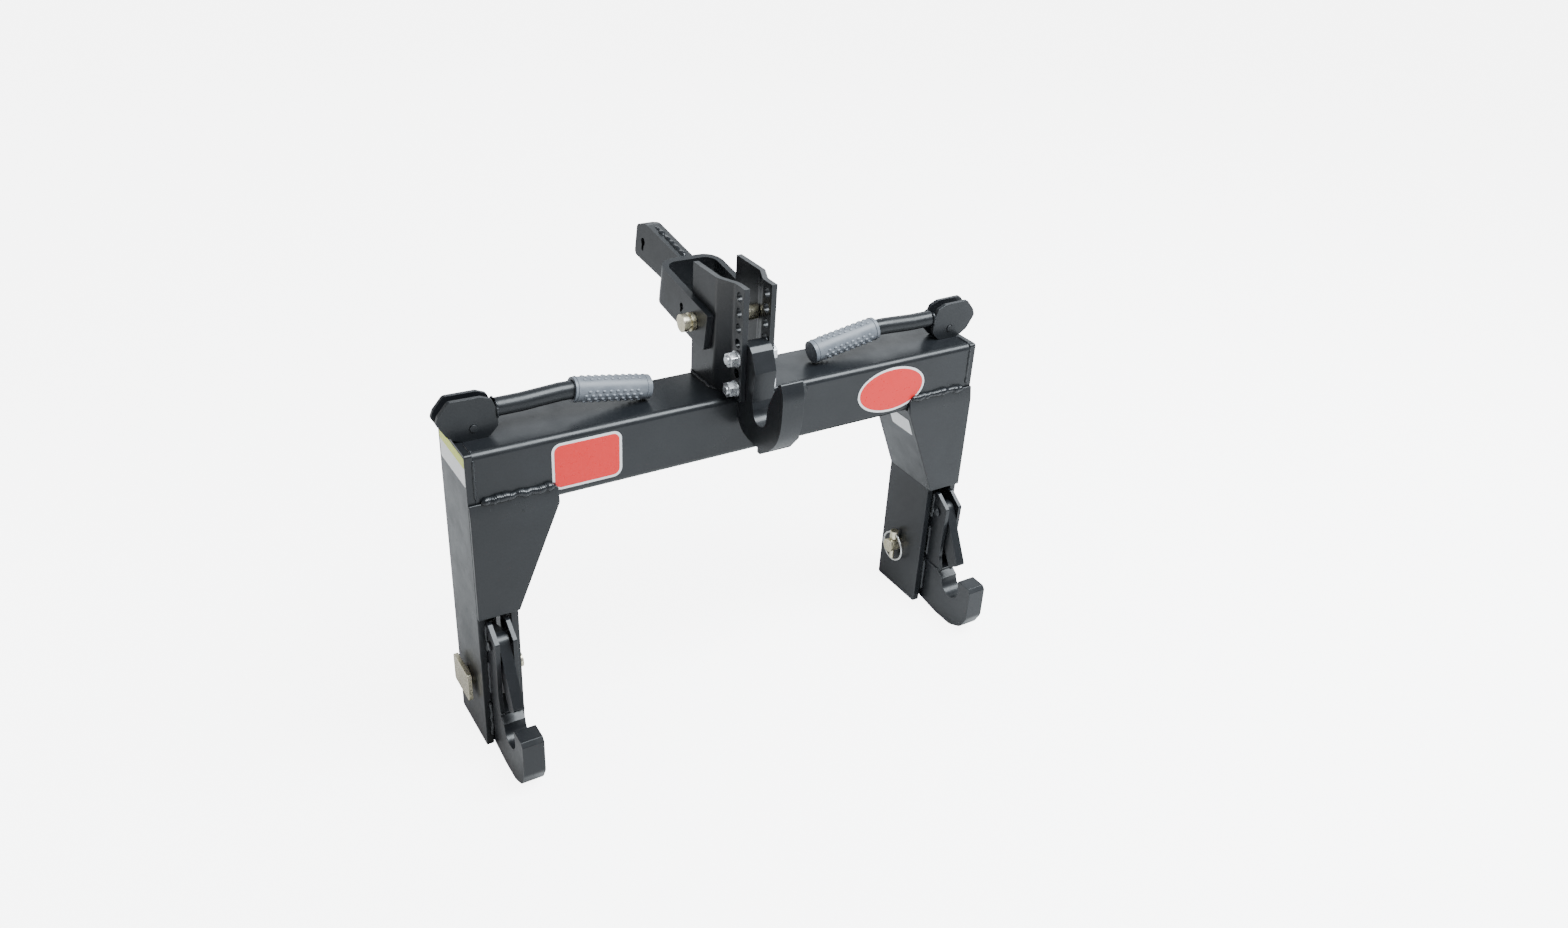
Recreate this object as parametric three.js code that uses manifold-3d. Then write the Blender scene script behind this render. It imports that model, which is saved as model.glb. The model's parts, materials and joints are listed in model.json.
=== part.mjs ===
// Category 1 three-point quick hitch (quick coupler). Millimetres, +Z up, +Y toward the tractor.
// Shapes are laid out in a drawing frame: Z = 0 on the beam top, Y = 0 on the front edges of the
// leg plates, X = 0 midway between the legs. The finished group is moved so that it stands on Z = 0.
import * as THREE from 'three';
import { mergeVertices } from 'three/addons/utils/BufferGeometryUtils.js';
import Module from 'manifold-3d';

const wasm = await Module();
wasm.setup();

// ---- driving dimensions -------------------------------------------------------------------------
const GAP = 0.3;              // space left between touching pieces
const HALF_WIDTH = 390;       // outer faces of the outer side plates
const DEPTH = 98.5;           // front to back of the frame
const FOOT_Z = -453;          // underside of the legs and lower hooks
const PLATE = 10;             // leg plate thickness
const BEAM_HEIGHT = 88.3;
const BEAM_WALL = 6;
const BEAM_CORNER = 9;
const LEG_INNER_FACE = 335;   // face of the inner leg plate that looks at the other leg
const GUSSET_FOOT_Z = -238;
const GUSSET_THICKNESS = 6.6;
const GUSSET_REACH = 276.5;   // inner corner of the gusset under the beam
const GUSSET_LAP = 20;        // how far the gusset laps up over the beam face
const WORK_X = 364.7;         // centre plane of hook, latch, rod and lever pivot
const HOOK_WIDTH = 30;
const EAR = 6;
const LATCH_WIDTH = 15;
const LATCH_PIVOT = [-12, -276];
const LATCH_PIVOT_R = 5;
const LIFT_Y = 47;            // lift rod axis
const ROD_R = 6;
const LEVER_PIVOT_Z = 15.5;
const TAIL_PIN_Z = -291.5;
const TAIL_PIN_R = 4;
const SPRING_SEAT_Z = -170;
const LINK_PIN = [58, -371];  // lower link pin axis, Y and Z
const LINK_PIN_R = 11;
const LYNCH_X = 326;          // lynch pins of the lower link pins, just inside the legs
const TOP_PIN = [75, 83.5];   // top link pin axis, Y and Z
const TOP_PIN_R = 9.7;
const BRACKET_TILT = THREE.MathUtils.degToRad(9);
const MAST_TOP = 157.8;
const HOLE_Y = -5;            // row of adjusting holes in the mast
const HOLE_Z = 16.2;
const HOLE_PITCH = 21.25;
const HOLE_COUNT = 7;
const BOLT_R = 6;
const ORIGIN_SHIFT = [0, -106.86, -FOOT_Z];

// ---- materials ----------------------------------------------------------------------------------
const PAINT = { color: 0x2b2d30, roughness: 0.45, metalness: 0.2 };
const RUBBER = { color: 0x3b3d40, roughness: 0.8, metalness: 0 };
const ZINC = { color: 0xc9ccd0, roughness: 0.35, metalness: 0.9 };
const YELLOW_ZINC = { color: 0xc2b78a, roughness: 0.35, metalness: 0.85 };
const SPRING_STEEL = { color: 0x8d9094, roughness: 0.4, metalness: 0.9 };

// ---- joining and cutting ------------------------------------------------------------------------
function toSolid(geometry) {
  const bare = geometry.clone();
  bare.deleteAttribute('normal');
  bare.deleteAttribute('uv');
  const merged = mergeVertices(bare, 1e-4);
  const index = merged.index.array;
  const triangles = [];
  for (let i = 0; i < index.length; i += 3) {
    const [a, b, c] = [index[i], index[i + 1], index[i + 2]];
    if (a !== b && b !== c && a !== c) triangles.push(a, b, c);
  }
  return new wasm.Manifold(new wasm.Mesh({
    numProp: 3,
    vertProperties: new Float32Array(merged.attributes.position.array),
    triVerts: new Uint32Array(triangles),
  }));
}

function toGeometry(solid) {
  const mesh = solid.getMesh();
  const geometry = new THREE.BufferGeometry();
  geometry.setAttribute('position', new THREE.BufferAttribute(mesh.vertProperties, 3));
  geometry.setIndex(new THREE.BufferAttribute(mesh.triVerts, 1));
  return geometry;
}

function join(first, ...others) {
  return toGeometry(others.reduce((all, one) => all.add(toSolid(one)), toSolid(first)));
}

function cut(body, ...tools) {
  return toGeometry(tools.reduce((left, tool) => left.subtract(toSolid(tool)), toSolid(body)));
}

function common(a, b) {
  return toGeometry(toSolid(a).intersect(toSolid(b)));
}

// ---- basic forms --------------------------------------------------------------------------------
// Outline corners are [a, b] or [a, b, radius]; a radius rounds that corner.
function outline(corners) {
  const points = [];
  corners.forEach(([a, b, radius], i) => {
    if (!radius) {
      points.push(new THREE.Vector2(a, b));
      return;
    }
    const here = new THREE.Vector2(a, b);
    const before = corners[(i + corners.length - 1) % corners.length];
    const after = corners[(i + 1) % corners.length];
    const back = new THREE.Vector2(before[0], before[1]).sub(here).normalize();
    const ahead = new THREE.Vector2(after[0], after[1]).sub(here).normalize();
    const half = Math.acos(THREE.MathUtils.clamp(back.dot(ahead), -1, 1)) / 2;
    const reach = radius / Math.tan(half);
    const centre = back.clone().add(ahead).normalize().multiplyScalar(radius / Math.sin(half));
    centre.add(here);
    const start = here.clone().addScaledVector(back, reach).sub(centre);
    const end = here.clone().addScaledVector(ahead, reach).sub(centre);
    let sweep = end.angle() - start.angle();
    if (sweep > Math.PI) sweep -= 2 * Math.PI;
    if (sweep < -Math.PI) sweep += 2 * Math.PI;
    const steps = Math.max(2, Math.ceil(Math.abs(sweep) / 0.3));
    for (let k = 0; k <= steps; k += 1) {
      const angle = start.angle() + (sweep * k) / steps;
      points.push(new THREE.Vector2(
        centre.x + radius * Math.cos(angle),
        centre.y + radius * Math.sin(angle),
      ));
    }
  });
  return points;
}

function circle(a, b, radius, segments = 24) {
  return Array.from({ length: segments }, (_, i) => {
    const angle = (2 * Math.PI * (i + 0.5)) / segments;
    return new THREE.Vector2(a + radius * Math.cos(angle), b + radius * Math.sin(angle));
  });
}

function extrude(points, depth, holes = []) {
  const shape = new THREE.Shape(points);
  holes.forEach((hole) => shape.holes.push(new THREE.Path(hole)));
  return new THREE.ExtrudeGeometry(shape, { depth, bevelEnabled: false });
}

function turned(geometry, xAxis, yAxis, zAxis) {
  const basis = new THREE.Matrix4().makeBasis(
    new THREE.Vector3(...xAxis),
    new THREE.Vector3(...yAxis),
    new THREE.Vector3(...zAxis),
  );
  return geometry.applyMatrix4(basis);
}

// A plate whose outline is drawn in Y and Z and whose thickness runs along X.
function plateYZ(points, x0, x1, holes) {
  const [low, high] = [Math.min(x0, x1), Math.max(x0, x1)];
  const plate = turned(extrude(points, high - low, holes), [0, 1, 0], [0, 0, 1], [1, 0, 0]);
  return plate.translate(low, 0, 0);
}

// A plate whose outline is drawn in X and Z and whose thickness runs along Y.
function plateXZ(points, y0, y1, holes) {
  const plate = turned(extrude(points, y1 - y0, holes), [1, 0, 0], [0, 0, 1], [0, -1, 0]);
  return plate.translate(0, y1, 0);
}

// A plate whose outline is drawn in X and Y and whose thickness runs along Z.
function plateXY(points, z0, z1, holes) {
  return extrude(points, z1 - z0, holes).translate(0, 0, z0);
}

function box(x0, x1, y0, y1, z0, z1) {
  const [low, high] = [Math.min(x0, x1), Math.max(x0, x1)];
  return plateXY(outline([[low, y0], [high, y0], [high, y1], [low, y1]]), z0, z1);
}

function barX(x0, x1, [y, z], radius, segments = 24) {
  return plateYZ(circle(y, z, radius, segments), x0, x1);
}

function barY(y0, y1, [x, z], radius, segments = 24) {
  return plateXZ(circle(x, z, radius, segments), y0, y1);
}

function barZ(z0, z1, [x, y], radius, segments = 24) {
  return plateXY(circle(x, y, radius, segments), z0, z1);
}

function along(curve, points, steps, holes = []) {
  const shape = new THREE.Shape(points);
  holes.forEach((hole) => shape.holes.push(new THREE.Path(hole)));
  return new THREE.ExtrudeGeometry(shape, { steps, bevelEnabled: false, extrudePath: curve });
}

// ---- frame --------------------------------------------------------------------------------------
function beamTube() {
  const end = HALF_WIDTH - PLATE - GAP;
  const outer = outline([
    [0, -BEAM_HEIGHT, BEAM_CORNER], [DEPTH, -BEAM_HEIGHT, BEAM_CORNER],
    [DEPTH, 0, BEAM_CORNER], [0, 0, BEAM_CORNER],
  ]);
  const inside = BEAM_CORNER - BEAM_WALL;
  const inner = outline([
    [BEAM_WALL, BEAM_WALL - BEAM_HEIGHT, inside], [DEPTH - BEAM_WALL, BEAM_WALL - BEAM_HEIGHT, inside],
    [DEPTH - BEAM_WALL, -BEAM_WALL, inside], [BEAM_WALL, -BEAM_WALL, inside],
  ]);
  const rodHoles = [-1, 1].map((side) => (
    barZ(-BEAM_HEIGHT - 5, 5, [side * WORK_X, LIFT_Y], ROD_R + 0.8)
  ));
  return cut(plateYZ(outer, -end, end, [inner]), ...rodHoles);
}

function outerSidePlate(side) {
  const shape = outline([[0, FOOT_Z, 4], [DEPTH, FOOT_Z, 4], [DEPTH, 0, 4], [0, 0, 4]]);
  const bore = circle(...LINK_PIN, LINK_PIN_R + 0.4, 32);
  return plateYZ(shape, side * (HALF_WIDTH - PLATE), side * HALF_WIDTH, [bore]);
}

function innerLegPlate(side) {
  const top = -BEAM_HEIGHT - GAP;
  const shape = outline([[0, FOOT_Z, 4], [DEPTH, FOOT_Z, 4], [DEPTH, top], [0, top]]);
  const bore = circle(...LINK_PIN, LINK_PIN_R + 0.4, 32);
  return plateYZ(shape, side * LEG_INNER_FACE, side * (LEG_INNER_FACE + PLATE), [bore]);
}

// A folded plate: a tapered front face lapping the beam, and a sloping wall back to the rear edge.
function gusset(side) {
  const lapTop = GUSSET_LAP - BEAM_HEIGHT;
  const underBeam = -BEAM_HEIGHT - GAP;
  const footX = LEG_INNER_FACE - GAP;
  const face = plateXZ(outline([
    [side * HALF_WIDTH, GUSSET_FOOT_Z], [side * HALF_WIDTH, lapTop],
    [side * (GUSSET_REACH - 2), lapTop, 4], [side * (GUSSET_REACH - 2), underBeam - 2],
    [side * footX, GUSSET_FOOT_Z],
  ]), -GUSSET_THICKNESS - GAP, -GAP);
  const slope = (footX - GUSSET_REACH) / (underBeam - GUSSET_FOOT_Z);
  const thick = GUSSET_THICKNESS * Math.hypot(1, slope);
  const wall = plateXZ(outline([
    [side * GUSSET_REACH, underBeam], [side * (GUSSET_REACH + thick), underBeam],
    [side * footX, GUSSET_FOOT_Z + thick / slope], [side * footX, GUSSET_FOOT_Z],
  ]), -GUSSET_THICKNESS - GAP, DEPTH);
  const bevelTool = plateYZ(outline([
    [-GUSSET_THICKNESS - 3, lapTop + 1], [-GUSSET_THICKNESS - 3, lapTop - GUSSET_LAP],
    [-GUSSET_THICKNESS - GAP, lapTop - GUSSET_LAP], [-3.4, lapTop + 1],
  ]), side * (GUSSET_REACH - 20), side * (HALF_WIDTH + 20));
  return cut(join(face, wall), bevelTool);
}

function lowerHook(side) {
  const slot = [-64.7, -383.5];
  const radius = 20;
  const shape = [];
  shape.push(...outline([[20, FOOT_Z, 3], [20, -420, 6], [4, -404, 6], [4, -374], [-36, -374, 2]]));
  for (let k = 0; k <= 14; k += 1) {
    const angle = -(Math.PI * k) / 14;
    shape.push(new THREE.Vector2(
      slot[0] + radius * Math.cos(angle),
      slot[1] + radius * Math.sin(angle) - 1,
    ));
  }
  shape.push(...outline([
    [-82, -366, 2.5], [-107, -366], [-112, -371.5], [-112.6, -420, 14],
    [-101, -442, 16], [-76, FOOT_Z, 22], [-40, FOOT_Z],
  ]).filter((point) => point.x > -113));
  const centre = side * WORK_X;
  return plateYZ(shape, centre - HOOK_WIDTH / 2, centre + HOOK_WIDTH / 2);
}

// One of the two cheeks that carry the latch pivot on top of a lower hook.
function ear(side, offset) {
  const shape = outline([
    [14, -373.7], [14, -249, 4], [-8, -246, 3], [-33, -263, 3],
    [-30.5, -350, 8], [-36, -373.7],
  ]);
  const centre = side * (WORK_X + offset);
  const bore = circle(...LATCH_PIVOT, LATCH_PIVOT_R + 0.3);
  return plateYZ(shape, centre - EAR / 2, centre + EAR / 2, [bore]);
}

function mastPlate(side) {
  const inner = [[16.3, -16.6], [16.3, 7], [28.7, 34.6], [28.7, 96.6]];
  const outer = [[36.7, 96.6], [36.7, 34.6], [24.3, 7], [24.3, -16.6]];
  const bend = 14;
  const shape = outline([
    [side * inner[0][0], inner[0][1]], [side * inner[1][0], inner[1][1], bend],
    [side * inner[2][0], inner[2][1], bend], [side * inner[3][0], inner[3][1]],
    [side * outer[0][0], outer[0][1]], [side * outer[1][0], outer[1][1], bend],
    [side * outer[2][0], outer[2][1], bend], [side * outer[3][0], outer[3][1]],
  ]);
  const holes = Array.from({ length: HOLE_COUNT }, (_, i) => (
    barX(side * 10, side * 40, [HOLE_Y, HOLE_Z + i * HOLE_PITCH], BOLT_R + 0.6, 18)
  ));
  const pinBore = barX(side * 20, side * 45, TOP_PIN, TOP_PIN_R + 0.4, 32);
  return cut(plateXY(shape, GAP, MAST_TOP), ...holes, pinBore);
}

function mastSpacer() {
  const room = plateXY(outline([
    [-15, 0], [15, 0], [15, 7], [27.2, 34], [27.2, 50], [-27.2, 50], [-27.2, 34], [-15, 7],
  ]), 80, 130);
  return common(barX(-40, 40, [27, 104.5], 9.7, 32), room);
}

function topHook() {
  const slot = [-54, -2.3];
  const radius = 16.5;
  const shape = [];
  shape.push(...outline([
    [5, GAP], [5, 70, 10], [-2, 82, 8], [-21, 80, 6], [-28.5, 74, 2], [-38.5, 48, 3], [-34, 6, 4],
    [-37.5, -2.3],
  ]));
  for (let k = 0; k <= 22; k += 1) {
    const angle = -(Math.PI * k) / 22;
    shape.push(new THREE.Vector2(
      slot[0] + radius * Math.cos(angle),
      slot[1] + radius * Math.sin(angle),
    ));
  }
  shape.push(...outline([[-71, 4], [-73.5, 20, 12], [-88, 49], [-99.5, 64, 3], [-106.5, 48]]));
  const back = [
    [-107.8, 36], [-106.3, 2], [-96.8, -25.6], [-75.4, -45.8], [-48, -51.6], [-15, -47], [-GAP, -32],
  ];
  shape.push(...new THREE.SplineCurve(back.map(([y, z]) => new THREE.Vector2(y, z))).getPoints(30));
  shape.push(new THREE.Vector2(-GAP, GAP));
  const bores = [0, 2].map((i) => circle(HOLE_Y, HOLE_Z + i * HOLE_PITCH, BOLT_R + 0.6));
  return plateYZ(shape, -16, 16, bores);
}

function backingPlate() {
  const shape = outline([
    [16.3, -93], [66, -93, 3], [80, -82, 3], [86, -GAP], [16.3, -GAP],
  ]);
  return plateXZ(shape, -8.3, -GAP);
}

// ---- hook bolts ---------------------------------------------------------------------------------
function hexagon(y, z, acrossFlats) {
  const corner = acrossFlats / Math.sqrt(3);
  return Array.from({ length: 6 }, (_, i) => {
    const angle = (Math.PI / 3) * i + Math.PI / 6;
    return new THREE.Vector2(y + corner * Math.cos(angle), z + corner * Math.sin(angle));
  });
}

function hookBolt(z) {
  const head = plateYZ(hexagon(HOLE_Y, z, 19), 24.6, 32);
  return join(head, barX(-41, 30, [HOLE_Y, z], BOLT_R));
}

function hookWasher(z) {
  return plateYZ(circle(HOLE_Y, z, 11, 28), -27, -24.6, [circle(HOLE_Y, z, BOLT_R + 0.4)]);
}

function hookNut(z) {
  return plateYZ(hexagon(HOLE_Y, z, 19), -38, -27.3, [circle(HOLE_Y, z, BOLT_R + 0.3)]);
}

// ---- swinging bracket on the mast ---------------------------------------------------------------
// Drawn level with its pin axis at the origin, then tilted and moved to the top link pin.
function onTopPin(geometry) {
  return geometry.rotateX(BRACKET_TILT).translate(0, TOP_PIN[0], TOP_PIN[1]);
}

function bracketKeyhole(y, z, radius, drop, x0, x1) {
  const round = barX(x0, x1, [y, z], radius, 20);
  const neck = plateYZ(outline([
    [y - radius * 0.55, z - drop, 2], [y + radius * 0.55, z - drop, 2],
    [y + radius * 0.55, z], [y - radius * 0.55, z],
  ]), x0, x1);
  return join(round, neck);
}

function bracketStrap() {
  const [outer, inner] = [46.4, 37];
  const [back, front, half] = [117.5, -34, 27.5];
  const thickness = outer - inner;
  const shape = outline([
    [-outer, front], [-inner, front], [-inner, back - thickness, 16], [inner, back - thickness, 16],
    [inner, front], [outer, front], [outer, back, 25], [-outer, back, 25],
  ]);
  const corners = plateYZ(outline([
    [front - 1, -half - 1], [front + 5, -half - 1], [front - 1, -half + 5],
  ]), -60, 60);
  const strap = cut(
    plateXY(shape, -half, half),
    barX(-60, 60, [0, 0], TOP_PIN_R + 0.4, 32),
    bracketKeyhole(34.8, 3, 5, 11, -60, 60),
    corners,
  );
  return onTopPin(strap);
}

function tonguePly(side) {
  const shape = outline([
    [117.8, -27.5], [117.8, 27], [222, 26, 30], [249, 13, 10], [250, -36, 7],
  ]);
  const keyhole = bracketKeyhole(226, -5, 6, 14, -20, 20);
  return onTopPin(cut(plateYZ(shape, side * 0.2, side * 11), keyhole));
}

// ---- pins with lynch pins -----------------------------------------------------------------------
// The free end of every pin points along +X times "side" and is cross drilled for its lynch pin.
function topLinkPin() {
  const shaft = barX(-50, 68, TOP_PIN, TOP_PIN_R, 32);
  const collar = barX(-46.7, -53, TOP_PIN, 12.6, 32);
  const neck = barX(-52, -58, TOP_PIN, 8.8, 32);
  const knob = barX(-57, -65, TOP_PIN, 12.2, 32);
  return cut(join(shaft, collar, neck, knob), barZ(0, 160, [57, TOP_PIN[0]], 4.5, 16));
}

function lowerLinkPin(side) {
  const [y, z] = LINK_PIN;
  const head = plateYZ(outline([
    [y - 29, z - 22, 5], [y + 29, z - 22, 5], [y + 29, z + 22, 5], [y - 29, z + 22, 5],
  ]), side * 395, side * 401);
  const collar = barX(side * 390.6, side * 395.5, LINK_PIN, 14, 28);
  const shaft = barX(side * 315, side * 394, LINK_PIN, LINK_PIN_R, 32);
  return cut(join(head, collar, shaft), barZ(z - 40, z + 40, [side * LYNCH_X, y], 4.5, 16));
}

function lynchPin(x, [y, z], shaftRadius) {
  const seat = z + shaftRadius + 0.5;
  const shank = barZ(z - 25.5, seat + 1, [x, y], 4, 16);
  const head = barZ(seat, seat + 14, [x, y], 6.5, 20);
  return cut(join(shank, head), barY(y - 20, y + 20, [x, seat + 8], 2.2, 12));
}

function springRing(x, [y, z], shaftRadius) {
  const top = z + shaftRadius + 8.5;
  const bottom = z - 28;
  const middle = (top + bottom) / 2;
  const radius = (top - bottom) / 2;
  const points = [[-9, top], [0, top], [9, top]];
  for (let k = 0; k <= 16; k += 1) {
    const angle = Math.PI / 2 - 0.55 - ((2 * Math.PI - 1.1) * k) / 16;
    points.push([radius * Math.cos(angle), middle + radius * Math.sin(angle)]);
  }
  const path = new THREE.CatmullRomCurve3(
    points.map(([dy, dz]) => new THREE.Vector3(x, y + dy, dz)),
    true,
    'centripetal',
  );
  return new THREE.TubeGeometry(path, 34, 1.8, 6, true);
}

// ---- latch works, one set per leg ---------------------------------------------------------------
function latch(side) {
  const [py, pz] = LATCH_PIVOT;
  const [ty, tz] = [LIFT_Y, TAIL_PIN_Z];
  const [x0, x1] = [side * WORK_X - LATCH_WIDTH / 2, side * WORK_X + LATCH_WIDTH / 2];
  const head = barX(x0, x1, LATCH_PIVOT, 14, 32);
  const bar = plateYZ(outline([
    [py - 12.6, pz + 6.2], [py + 10, pz - 9.8], [-48, -362, 2], [-67, -350, 4],
  ]), x0, x1);
  const length = Math.hypot(ty - py, tz - pz);
  const [ny, nz] = [-(tz - pz) / length, (ty - py) / length];
  const tail = plateYZ(outline([
    [py + 13 * ny, pz + 13 * nz], [ty + 10.9 * ny, tz + 10.9 * nz],
    [ty - 10.9 * ny, tz - 10.9 * nz], [py - 13 * ny, pz - 13 * nz],
  ]), x0, x1);
  const eye = barX(x0, x1, [ty, tz], 11, 28);
  // The eye is slotted towards the pivot, because the tail pin lifts straight up.
  const room = TAIL_PIN_R + 0.4;
  const slotEnds = [-2.4, 0.4].map((shift) => [ty + shift * nz, tz - shift * ny]);
  const slotRounds = slotEnds.map((end) => barX(x0 - 1, x1 + 1, end, room, 20));
  const slotMiddle = plateYZ(outline([
    [slotEnds[0][0] + room * ny, slotEnds[0][1] + room * nz],
    [slotEnds[1][0] + room * ny, slotEnds[1][1] + room * nz],
    [slotEnds[1][0] - room * ny, slotEnds[1][1] - room * nz],
    [slotEnds[0][0] - room * ny, slotEnds[0][1] - room * nz],
  ]), x0 - 1, x1 + 1);
  const bore = barX(x0 - 1, x1 + 1, LATCH_PIVOT, LATCH_PIVOT_R + 0.3);
  return cut(join(head, bar, tail, eye), bore, ...slotRounds, slotMiddle);
}

function latchPivotPin(side) {
  const middle = side * WORK_X;
  const reach = HOOK_WIDTH / 2 + 2.6;
  return barX(middle - reach, middle + reach, LATCH_PIVOT, LATCH_PIVOT_R);
}

function liftRod(side) {
  const x = side * WORK_X;
  const top = barY(LIFT_Y - 6, LIFT_Y + 6, [x, LEVER_PIVOT_Z], 9.5, 28);
  const stem = barZ(TAIL_PIN_Z + 18, LEVER_PIVOT_Z - 4, [x, LIFT_Y], ROD_R);
  const yokeHead = box(x - 12, x + 12, LIFT_Y - 8, LIFT_Y + 8, TAIL_PIN_Z + 14.5, TAIL_PIN_Z + 21);
  const prongs = [-1, 1].map((edge) => plateYZ(outline([
    [LIFT_Y - 8, TAIL_PIN_Z - 8, 7], [LIFT_Y + 8, TAIL_PIN_Z - 8, 7],
    [LIFT_Y + 8, TAIL_PIN_Z + 20], [LIFT_Y - 8, TAIL_PIN_Z + 20],
  ]), x + edge * 8, x + edge * 12));
  return cut(
    join(top, stem, yokeHead, ...prongs),
    barY(LIFT_Y - 20, LIFT_Y + 20, [x, LEVER_PIVOT_Z], 5.3),
    barX(x - 20, x + 20, [LIFT_Y, TAIL_PIN_Z], TAIL_PIN_R + 0.3, 20),
  );
}

function tailPin(side) {
  return barX(side * WORK_X - 13.5, side * WORK_X + 13.5, [LIFT_Y, TAIL_PIN_Z], TAIL_PIN_R, 20);
}

function springSeat(side) {
  const centre = [side * WORK_X, LIFT_Y];
  const disc = barZ(SPRING_SEAT_Z - 3, SPRING_SEAT_Z, centre, 12.5, 28);
  const sleeve = barZ(SPRING_SEAT_Z - 12, SPRING_SEAT_Z - 2, centre, 9.5, 24);
  const bore = barZ(SPRING_SEAT_Z - 20, SPRING_SEAT_Z + 5, centre, ROD_R + 0.3);
  return cut(join(disc, sleeve), bore);
}

class Helix extends THREE.Curve {
  constructor(x, y, z0, z1, radius, turns) {
    super();
    this.coil = { x, y, z0, z1, radius, turns };
  }

  getPoint(t, target = new THREE.Vector3()) {
    const { x, y, z0, z1, radius, turns } = this.coil;
    const angle = 2 * Math.PI * turns * t;
    return target.set(
      x + radius * Math.cos(angle),
      y + radius * Math.sin(angle),
      z0 + (z1 - z0) * t,
    );
  }
}

function rodSpring(side) {
  const wire = 1.6;
  const low = SPRING_SEAT_Z + GAP + wire;
  const high = -BEAM_HEIGHT - GAP - wire;
  const helix = new Helix(side * WORK_X, LIFT_Y, low, high, 9.4, 8);
  const coil = along(helix, circle(0, 0, wire, 6), 84);
  const room = box(side * WORK_X - 20, side * WORK_X + 20, 0, 90, low - wire, high + wire);
  return common(coil, room);
}

// ---- hand levers --------------------------------------------------------------------------------
// The outline is a cam: its reach below the pivot grows as the lever is swung up.
function leverCheek(side, y0) {
  const offsets = [
    [19, -15.2, 8], [-15, -15.2, 6], [-24, -12, 6], [-33.5, -5.5, 8], [-45.6, 14.5, 6],
    [-42, 24, 5], [-28.5, 40, 6], [12, 39.2, 6], [25, 33.6, 5], [31, 17.5, 5], [31, -3, 6],
  ];
  const shape = outline(offsets.map(([dx, dz, radius]) => (
    [side * (WORK_X - dx), LEVER_PIVOT_Z + dz, radius]
  )));
  const bore = circle(side * WORK_X, LEVER_PIVOT_Z, 5.3);
  return plateXZ(shape, y0, y0 + 5.5, [bore]);
}

function leverPivotPin(side) {
  return barY(LIFT_Y - 13.4, LIFT_Y + 13.4, [side * WORK_X, LEVER_PIVOT_Z], 5);
}

// The bar's bends as distance from the middle and height, from the cheeks to the closed end.
const LEVER_LINE = [[333.2, 32], [300, 32], [273, 33.5], [243, 35], [230, 34.2], [132, 17.6]];
const TUBE_END_X = 135.5;
const GRIP_MOUTH = [233, 34.7];
const GRIP_END = [127, 16.75];

function leverBar(side, radius, holes = []) {
  const points = LEVER_LINE.map(([x, z]) => new THREE.Vector3(side * x, LIFT_Y, z));
  return along(new THREE.CatmullRomCurve3(points), circle(0, 0, radius, 18), 12, holes);
}

function leverTube(side) {
  const bar = leverBar(side, 12, [circle(0, 0, 9, 12)]);
  return cut(bar, box(side * 100, side * TUBE_END_X, LIFT_Y - 30, LIFT_Y + 30, -20, 60));
}

function leverGrip(side) {
  const ends = [GRIP_MOUTH, GRIP_END].map(([x, z]) => new THREE.Vector3(side * x, LIFT_Y, z));
  const sleeve = along(new THREE.LineCurve3(...ends), circle(0, 0, 16.2, 28), 1);
  return cut(sleeve, leverBar(side, 12.5));
}

// ---- assembly -----------------------------------------------------------------------------------
const group = new THREE.Group();

function add(name, geometry, look) {
  const clean = toGeometry(toSolid(geometry));
  clean.translate(...ORIGIN_SHIFT);
  const flat = clean.toNonIndexed();
  flat.computeVertexNormals();
  const mesh = new THREE.Mesh(flat, new THREE.MeshStandardMaterial(look));
  mesh.name = name;
  group.add(mesh);
}

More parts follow.
